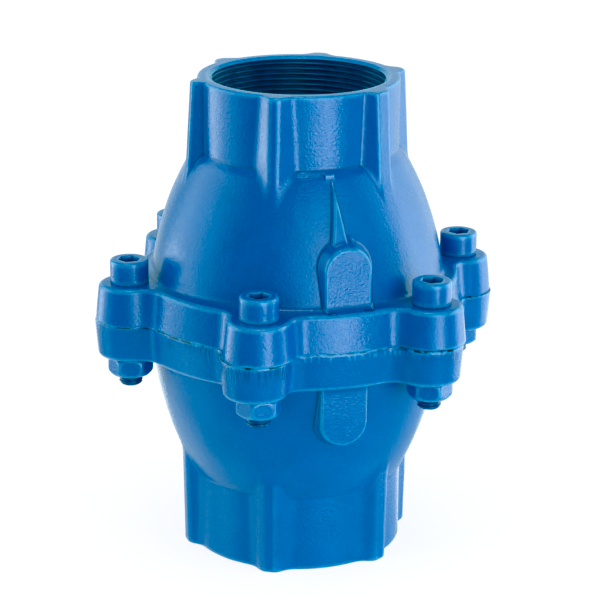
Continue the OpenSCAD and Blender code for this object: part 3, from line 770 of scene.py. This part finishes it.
# Cuts the screw holes: one piece with six cylinders is taken away from the casting.
def cutScrewHoles(piece, zLow, zHigh):
    hole = revolved([(casting["holeR"], zLow), (casting["holeR"], zHigh)], 40, loop=False)
    holes = joinSkins([atBolt(hole, angle, 0, 0) for angle in boltAngles])
    cutter = addPiece("holeCutter", holes, None, piece.data.materials[0])
    cut = piece.modifiers.new("screwHoles", "BOOLEAN")
    cut.operation = "DIFFERENCE"
    cut.solver = "MANIFOLD"
    cut.object = cutter
    bpy.context.view_layer.update()
    done = bpy.data.meshes.new_from_object(piece.evaluated_get(bpy.context.evaluated_depsgraph_get()))
    piece.modifiers.clear()
    old = piece.data
    piece.data = done
    done.name = piece.name
    bpy.data.meshes.remove(old)
    bpy.data.objects.remove(cutter)
    done.set_sharp_from_angle(angle=math.radians(sharpAngle))


for name, half in halves.items():
    skin = skinFromGrid(placeHalf(castingGrid(half, endHeight(half)), half["up"]))
    if not half["up"]:
        skin = turnedOver(skin)
    piece = addPiece(name, skin, "casing", castPaint, [half["node"]])
    past = flange["thick"] + casting["holePast"]
    low, high = (-1, past) if half["up"] else (-past, 1)
    cutScrewHoles(piece, jointZ + low, jointZ + high)
    markEdges(piece)
    print(name, "has", sum(len(p.vertices) - 2 for p in piece.data.polygons), "triangles")

# Threads in the ends

pipeThread = {
    "minorR": 36.11, "depth": 1.48, "pitch": 25.4 / 11,
    "flat": 0.12, "round": 0.2,  # share of the wave cut off for roots and crests, and how softly
    "fade": (4, 1),              # distances from the blind end between which the turns run out
    "outerR": 38.6, "backTop": 0.5, "backMiddle": 15, "under": 0.05, "columns": 240, "step": 0.21,
}


# Sleeve cut with a helix: its radius is minor + depth x a rounded triangle wave of h/pitch + hand angle/360.
def threadGrid(endH, hand):
    t, length, mouthH = pipeThread, casting["tappedLen"], endH - casting["mouthDeep"]
    top = mouthH - t["under"]
    a = np.arange(t["columns"]) * 360 / t["columns"]
    h = np.arange(length, -0.001, -t["step"])[:, None]  # depth under the sleeve's top
    wave = triangleWave(h / t["pitch"] + hand * a / 360)
    cut = softMin(softMax(wave, t["flat"], t["round"]), 1 - t["flat"], t["round"])
    cut = (cut - t["flat"]) / (1 - 2 * t["flat"])
    fadeIn = 1 - ease(h, length - t["fade"][0], length - t["fade"][1])
    r = t["minorR"] + t["depth"] * cut * fadeIn
    r = np.where(h < 0.1, casting["mouthR"] + 0.1, r)  # the top row meets the bevel
    back = [(t["outerR"], z) for z in (mouthH - t["backTop"], endH - t["backMiddle"], top - length)]
    return np.concatenate([ring(r, top - h, a), gridOfRows(back, a)])


for name, half in (("outletThread", halves["outletCasting"]), ("inletThread", halves["inletCasting"])):
    skin = skinFromGrid(placeHalf(threadGrid(endHeight(half), 1 if half["up"] else -1), half["up"]))
    if half["up"]:
        skin = turnedOver(skin)
    addPiece(name, skin, "casing", shadedThreadPaint)
print("castings and threads made")

# Guide hub in the outlet half

guide = {
    "boreR": 7.52, "boreEdge": 0.6, "boreFoot": 52, "neckR": 10.5, "neckLow": 38.5, "neckEdge": 0.4,
    "headR": 14.6, "seatH": 51, "headEdge": 0.5, "sideTop": 57, "top": 66, "round": 3,
    "armLow": 52, "armTop": 60, "armW": 5, "armFrom": 9, "armTo": 46.8, "armPower": 4,
    "flare": 2.2, "flareRun": 6, "flareFrom": 13.5, "lump": 6, "lumpDepth": 0.1,
}


# Hub: ring whose section has a neck, a step that backs the spring, and a rounded head.
def guideHub():
    g, neckR, headR, low, seatH = guide, guide["neckR"], guide["headR"], guide["neckLow"], guide["seatH"]
    profile = [(g["boreR"], low), (neckR - g["neckEdge"], low), (neckR, low + g["neckEdge"]),
               (neckR, seatH - 0.3), (neckR + 0.3, seatH), (headR - g["headEdge"], seatH),
               (headR, seatH + g["headEdge"]), (headR, g["sideTop"])]
    profile += list(arcPoints(headR - g["round"], g["top"] - g["round"], g["round"], 0, 90, 8))
    profile += [(g["boreR"] + g["boreEdge"], g["top"]), (g["boreR"], g["top"] - g["boreEdge"]),
                (g["boreR"], g["boreFoot"])]
    points, quads, tris = revolved(profile, 96)
    return points + np.array([0, 0, jointZ]), quads, tris


# Arm: rounded rectangle carried outwards, |y/a|^n + |z/b|^n = 1, wider by flare x e^-(distance/run)^2 at the
# hub and at the wall.
def guideArm(angle):
    g, run = guide, guide["flareRun"]
    x = np.linspace(g["armFrom"], g["armTo"], 40)[:, None]
    v = np.arange(40) * 9
    flare = g["flare"] * (np.exp(-((x - g["flareFrom"]) / run) ** 2) + np.exp(-((x - g["armTo"]) / run) ** 2))
    halfW, halfH = g["armW"] / 2 + flare, (g["armTop"] - g["armLow"]) / 2 + flare * 0.5
    y = halfW * np.sign(cosD(v)) * np.abs(cosD(v)) ** (2 / g["armPower"])
    z = halfH * np.sign(sinD(v)) * np.abs(sinD(v)) ** (2 / g["armPower"])
    middle = (g["armTop"] + g["armLow"]) / 2
    grid = np.stack([*turnedBy(x, y, angle), jointZ + middle + z], -1)
    return skinFromGrid(bumped(grid, g["lumpDepth"] * lumps(grid, g["lump"], 21), 1, -1), loop=False)


guideSkin = joinSkins([guideHub()] + [guideArm(90 + 120 * i) for i in range(3)])
markEdges(addPiece("outletGuide", guideSkin, "casing", castPaint))
print("guide made")

# Screws and nuts

screw = {
    "headR": 8, "headH": 10, "edge": 1.0, "under": 0.35, "sideRows": [7.5, 6, 4.5, 3, 1.5],
    "socket": 8, "socketDepth": 5, "socketRound": 0.3, "lip": 0.45,
    "shankR": 5, "length": 45, "tip": 1.1, "tipSlope": 1.1, "tipRound": 0.25, "tipR": [3.4, 2.0],
    "pitch": 1.5, "threadDepth": 0.62, "threadFrom": 37, "threadStep": 0.15, "columns": 96,
    "socketShadeR": 5.2, "socketShadeFrom": 4, "socketShadeTo": 9.3, "darkTipFrom": 37.5,  # socket with painted shade, and the tip made dark
}
nut = {
    "af": 16.8, "h": 8.4, "boreR": 4.7, "boreEdge": 0.9, "middle": 4, "faceR": [7.35, 6.2],
    "slope": 1.3, "flat": 7.6, "edge": 0.7, "corner": 0.6, "cornerCut": 0.12,
    "sideRows": [0.12, 0.35, 0.6, 0.85, 1.1, 1.5, 2.5, 4.2, 5.9, 6.9, 7.3, 7.55, 7.8, 8.05, 8.28],
    "turns": [36, 22, 51, 13, 46, 58],  # degrees past its corner at which each nut stopped
}
thickCoat = {"depth": 0.05, "size": 2.6, "apart": 40}  # lumps of the coat on the fasteners


# Distance from the middle to a hexagon's side in direction a, with corners at 0, 60 and so on.
def hexRadius(a, af):
    return af / 2 / cosD((a % 60) - 30)


# How far the thick coat stands out on a fastener's grid, other lumps for each seed.
def coatBump(grid, seed, pattern):
    return thickCoat["depth"] * lumps(grid + thickCoat["apart"] * seed, thickCoat["size"], pattern)


# Cap screw round its own axis, z from under its head: socket, head, shank and thread in one run of rows. The
# thread's depth is a rounded triangle wave of z/pitch + angle/360, and a cone ends it.
def screwSkin(seed):
    s, headR, shankR, lip, edge = screw, screw["headR"], screw["shankR"], screw["lip"], screw["edge"]
    a = np.arange(s["columns"]) * 360 / s["columns"]
    flat, soft = hexRadius(a, s["socket"]), s["socketRound"]
    top, floor, outer = s["headH"], s["headH"] - s["socketDepth"], headR - edge
    rows = [(flat * 0.5, floor), (flat - soft, floor), (flat, floor + soft), (flat, floor + 2.5)]
    rows += [(flat + lip * back, top - lip + lip * up) for back, up in quarterTurn(4)]
    rows += [((flat + lip) * (1 - t) + outer * t, top) for t in (0.35, 0.7)]
    rows += [(outer + edge * out, top - edge * down) for down, out in quarterTurn(7)]
    rows += [(headR, z) for z in s["sideRows"]]
    rows += [(headR, s["under"]), (headR - s["under"], 0.02), (shankR + 0.2, 0), (shankR, -0.3)]
    rows += [(shankR, z) for z in (-10, -20, 0.5 - s["threadFrom"])]
    for z in np.arange(s["threadFrom"], s["length"] - 0.05, s["threadStep"]):
        runIn = ease(z, s["threadFrom"], s["threadFrom"] + s["pitch"])
        depth = s["threadDepth"] * ease(triangleWave(z / s["pitch"] + a / 360), 0.1, 0.9) * runIn
        cone = shankR - np.maximum(z - (s["length"] - s["tip"]), 0) * s["tipSlope"]
        rows.append((softMin(shankR - depth, cone, s["tipRound"]), -z))
    rows += [(s["tipR"][0], 0.02 - s["length"]), (s["tipR"][1], -s["length"])]
    grid = gridOfRows(rows, a)
    grid = bumped(grid, -coatBump(grid, seed, 31), 8, 24)  # the head's top, edge and side
    return turnedOver(skinFromGrid(grid, loop=False))


# Nut round its own axis, z from its lower face: hexagon cut by a cone at each end, as a ring.
def nutSkin(seed):
    n, boreR, boreEdge, top = nut, nut["boreR"], nut["boreEdge"], nut["h"]
    a = np.arange(120) * 3
    side = softMin(hexRadius(a, n["af"]), n["af"] / 2 / cosD(30) - n["cornerCut"], n["corner"])
    rows = []
    for z in n["sideRows"]:
        cone = n["flat"] + n["slope"] * min(z, top - z)
        rows.append((softMin(side, cone, n["edge"]), z))
    wide, narrow, mouthR = *n["faceR"], boreR + boreEdge
    rows += [(wide, top), (narrow, top), (mouthR, top), (boreR, top - boreEdge), (boreR, n["middle"]),
             (boreR, boreEdge), (mouthR, 0), (narrow, 0), (wide, 0)]
    grid = gridOfRows(rows, a)
    return skinFromGrid(bumped(grid, coatBump(grid, seed, 37)))


headZ = jointZ + flange["thick"]
nutZ = nodeBox("hex_nut_1")[0][2]
for i, angle in enumerate(boltAngles, start=1):
    middle = boltCircleR * np.array([cosD(angle), sinD(angle)])

    # Picks the points in the socket, which get painted shade, and on the screw's tip, which is made dark too.
    def shadedSocketDarkTip(place):
        away, z = np.hypot(place[:, 0] - middle[0], place[:, 1] - middle[1]), place[:, 2]
        socket = (z > headZ + screw["socketShadeFrom"]) & (z < headZ + screw["socketShadeTo"]) & (away < screw["socketShadeR"])
        return socket | (z < headZ - screw["darkTipFrom"])

    skin = atBolt(screwSkin(i), angle, angle, headZ)
    piece = addPiece(f"capScrew{i}", skin, "casing", fastenerPaint, [f"cap_screw_{i}"])
    markEdges(piece, shadedSocketDarkTip)
    skin = atBolt(nutSkin(i), angle, angle + nut["turns"][i - 1], nutZ)
    markEdges(addPiece(f"hexNut{i}", skin, "casing", fastenerPaint, [f"hex_nut_{i}"]))
print("fasteners made")

# Spring

spring = {"r": 12.9, "wire": 2.2, "turns": 7, "closed": 0.9, "rise": 1.02, "perTurn": 48, "sides": 14}
springLow, springHigh = nodeBox("spring")[0][2], nodeBox("spring")[1][2]


# Round wire carried along a helix whose end turns lie closed: the wire's middle rises by pitch x turns over
# the end turns and evenly between them.
def springSkin():
    s, turns, closed, wireR = spring, spring["turns"], spring["closed"], spring["wire"] / 2
    t = np.linspace(0, turns, turns * s["perTurn"] + 1)[:, None]
    pitch = s["wire"] * s["rise"]
    low, high = springLow + wireR, springHigh - wireR
    openLow, openHigh = low + closed * pitch, high - closed * pitch
    middle = openLow + (openHigh - openLow) * (t - closed) / (turns - 2 * closed)
    upper = np.where(t > turns - closed, high - (turns - t) * pitch, middle)
    z = np.where(t < closed, low + t * pitch, upper)
    v = np.arange(s["sides"]) * 360 / s["sides"]
    grid = ring(s["r"] + wireR * cosD(v), z + wireR * sinD(v), t * 360)
    return turnedOver(skinFromGrid(grid, loop=False))


springCoil = addPiece("springCoil", springSkin(), "casing", wireMetal, ["spring"])
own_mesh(springCoil)
print("spring made")

# Finishes of the CAD nodes that stay

nodeFinishes = [
    (bronzeMetal, ["seat_carrier", "disc"]),
    (stainlessMetal, ["seal_retainer", "stem", "stem_washer", "stem_nut"]),
    (blackRubber, ["disc_seal", "body_o_ring", "seat_o_ring"]),
    (palePlastic, ["upper_guide_bush", "lower_guide_bush"]),
]
for material, nodes in nodeFinishes:
    for node in nodes:
        slots = cadNodes[node].material_slots
        if len(slots) == 0:
            cadNodes[node].data.materials.append(material)
        for each in slots:
            each.material = material
print("node finishes set")

# Floor, light and camera

studio = {
    "target": (1.28, 1.03),  # millimetres right of and over the joint's middle, seen from the camera
    "azimuth": -18.2, "elevation": 17.86, "roll": 0.48, "distance": 1000, "lens": 139.6,
    "clip": (0.05, 20),      # metres
    "fill": 0.76, "fillTint": (0.93, 0.97, 1.0, 1), "white": 1.05, "sheenTint": (0.86, 0.97, 1.0),
    "blackLevel": (0.09, 0, 0),  # the deep blue shows no red until its gloss is strong
}
ground = {
    "half": 6,               # half its width, in metres
    "dark": (0.34, 0.34, 0.345), "light": (0.36, 0.36, 0.36), "patch": 400, "rough": 0.7, "glow": 0.78,
}
floorMesh = bpy.data.meshes.new("floor")
h = ground["half"]
floorMesh.from_pydata([(-h, -h, 0), (h, -h, 0), (h, h, 0), (-h, h, 0)], [], [(0, 1, 2, 3)])
floor = addObject("floor", floorMesh)
floorMaterial, floorTree, floorShader, floorPlace = newMaterial("paleFloor")
floorTint = addNoise(floorTree, floorPlace, ground["patch"], 2)
floorColour = addRamp(floorTree, floorTint, [(0.3, ground["dark"]), (0.7, ground["light"])])
setInputs(floorTree, floorShader, {
    "Base Color": floorColour, "Roughness": ground["rough"], "Specular IOR Level": 0,
    "Emission Color": (1, 1, 1, 1), "Emission Strength": ground["glow"],
})
floorMesh.materials.append(floorMaterial)
floor.visible_glossy = False
floor.visible_diffuse = False
floor.visible_shadow = False


# Direction from the valve at an angle to the right of the camera and an elevation, both in degrees.
def seenFrom(angle, elevation):
    azimuth = studio["azimuth"] + angle
    return Vector((sinD(azimuth) * cosD(elevation), -cosD(azimuth) * cosD(elevation), sinD(elevation)))


# Places an object away from a point in the direction back, in metres, and turns it to that point.
def aim(piece, point, back, away):
    piece.location = point + back * away
    piece.rotation_mode = "QUATERNION"
    piece.rotation_quaternion = (-back).to_track_quat("-Z", "Y")


# Area light turned to a point at height z, in metres; shines is false for one that only shows in reflections.
def softBox(name, angle, elevation, away, width, height, watts, z=jointZ * mm, mirrored=True, shines=True):
    light = bpy.data.lights.new(name, "AREA")
    light.shape = "RECTANGLE"
    light.size, light.size_y = width, height
    light.energy = watts
    box = addObject(name, light)
    aim(box, Vector((0, 0, z)), seenFrom(angle, elevation), away)
    box.visible_glossy = mirrored
    box.visible_diffuse = shines
    if not shines:
        light.color = studio["sheenTint"]


# Soft bands that the gloss mirrors: name, angle, elevation, width and height in degrees, radiance.
mirroredBands = [
    ("leftWide", -103, 12, 86, 65, 0.8), ("leftMiddle", -98, 13, 56, 58, 1.2),
    ("leftCore", -101, 13, 34, 54, 1.05), ("leftCollar", -114, -8, 26, 14, 2.6),
    ("leftRim", -78, -22, 22, 16, 1.3), ("rightWide", 110, 10, 76, 70, 1.6),
    ("rightMiddle", 111, 10, 44, 64, 1.2), ("rightCore", 103, 10, 22, 60, 1.9),
    ("frontWide", 26, 13, 66, 60, 1.0), ("frontMiddle", 22, 14, 38, 55, 1.6),
    ("frontCore", 22, 6, 20, 42, 1.7), ("frontLow", 30, -7, 20, 16, 1.6),
    ("frontRight", 35, -6, 16, 25, 3.3), ("leftLow", -108, -48, 56, 40, 0.4),
    ("topStrip", -20, 78, 30, 20, 4.5), ("backBox", 180, 2, 74, 62, 1.1),
]
bandDistance = 0.9


# Width in metres at the bands' distance: 2 distance x tan(degrees / 2). Their watts are radiance x pi x area.
def bandSize(degrees):
    return 2 * bandDistance * math.tan(math.radians(degrees / 2))


for name, angle, elevation, wide, high, radiance in mirroredBands:
    width, height = bandSize(wide), bandSize(high)
    watts = radiance * math.pi * width * height
    softBox(name, angle, elevation, bandDistance, width, height, watts, shines=False)

# Lights that only shine on it: name, angle, elevation, distance and size in metres, watts.
keys = [("leftKey", -70, 20, 1.2, 0.8, 2.2), ("rightKey", 60, 16, 1.2, 0.8, 2.8),
        ("rightLow", 56, -24, 1.0, 0.6, 2.6)]
for name, angle, elevation, away, size, watts in keys:
    softBox(name, angle, elevation, away, size, size, watts, mirrored=False)

# White table round the foot: its glow in the gloss and its bounce on the lower half. Sizes in metres.
table = {"size": 0.7, "lift": 0.0005, "glow": 0.9, "bounce": 0.4, "away": 0.1}
for name, radiance, mirrored in (("tableGlow", table["glow"], True), ("tableBounce", table["bounce"], False)):
    size, watts, z = table["size"], radiance * math.pi * table["size"] ** 2, table["away"] + table["lift"]
    softBox(name, 0, -90, table["away"], size, size, watts, z, mirrored, not mirrored)

# Light down the bore, narrower than the passage, so that the disc and its guide show from above. Its height
# and the radius that softens it are in metres.
boreLight = {"height": 0.9, "coneR": 32, "watts": 8, "softR": 0.03, "blend": 0.6}
lamp = bpy.data.lights.new("boreLight", "SPOT")
lamp.energy = boreLight["watts"]
lamp.shadow_soft_size = boreLight["softR"]
passageTop = (jointZ + outletH - casting["tappedLen"]) * mm
lamp.spot_size = 2 * math.atan(boreLight["coneR"] * mm / (boreLight["height"] - passageTop))
lamp.spot_blend = boreLight["blend"]
addObject("boreLight", lamp).location = (0, 0, boreLight["height"])

# World: white to the camera, an even fill for shade, and nothing in reflections, which the soft boxes make.
world = bpy.data.worlds.new("studioWorld")
bpy.context.scene.world = world
world.use_nodes = True
world.cycles_visibility.glossy = False
worldTree = world.node_tree
evenFill = worldTree.nodes["Background"]
setInputs(worldTree, evenFill, {"Color": studio["fillTint"], "Strength": studio["fill"]})
plainWhite = addNode(worldTree, "Background", {"Color": (1, 1, 1, 1), "Strength": studio["white"]})
seenByCamera = addNode(worldTree, "LightPath", {}).outputs["Is Camera Ray"]
backgrounds = {"Fac": seenByCamera, 1: evenFill.outputs["Background"], 2: plainWhite.outputs["Background"]}
chosen = addNode(worldTree, "MixShader", backgrounds)
setInputs(worldTree, worldTree.nodes["World Output"], {"Surface": chosen.outputs["Shader"]})
viewCurve = bpy.context.scene.view_settings
viewCurve.view_transform = "Standard"
viewCurve.use_curve_mapping = True
viewCurve.curve_mapping.black_level = studio["blackLevel"]
viewCurve.curve_mapping.update()

camera = bpy.data.cameras.new("camera")
camera.lens = studio["lens"]
camera.clip_start, camera.clip_end = studio["clip"]
cameraPiece = addObject("camera", camera)
right = Vector((cosD(studio["azimuth"]), sinD(studio["azimuth"]), 0))
target = (right * studio["target"][0] + Vector((0, 0, jointZ + studio["target"][1]))) * mm
aim(cameraPiece, target, seenFrom(0, studio["elevation"]), studio["distance"] * mm)
cameraPiece.rotation_quaternion @= Quaternion((0, 0, 1), math.radians(studio["roll"]))
bpy.context.scene.camera = cameraPiece
print("studio ready")
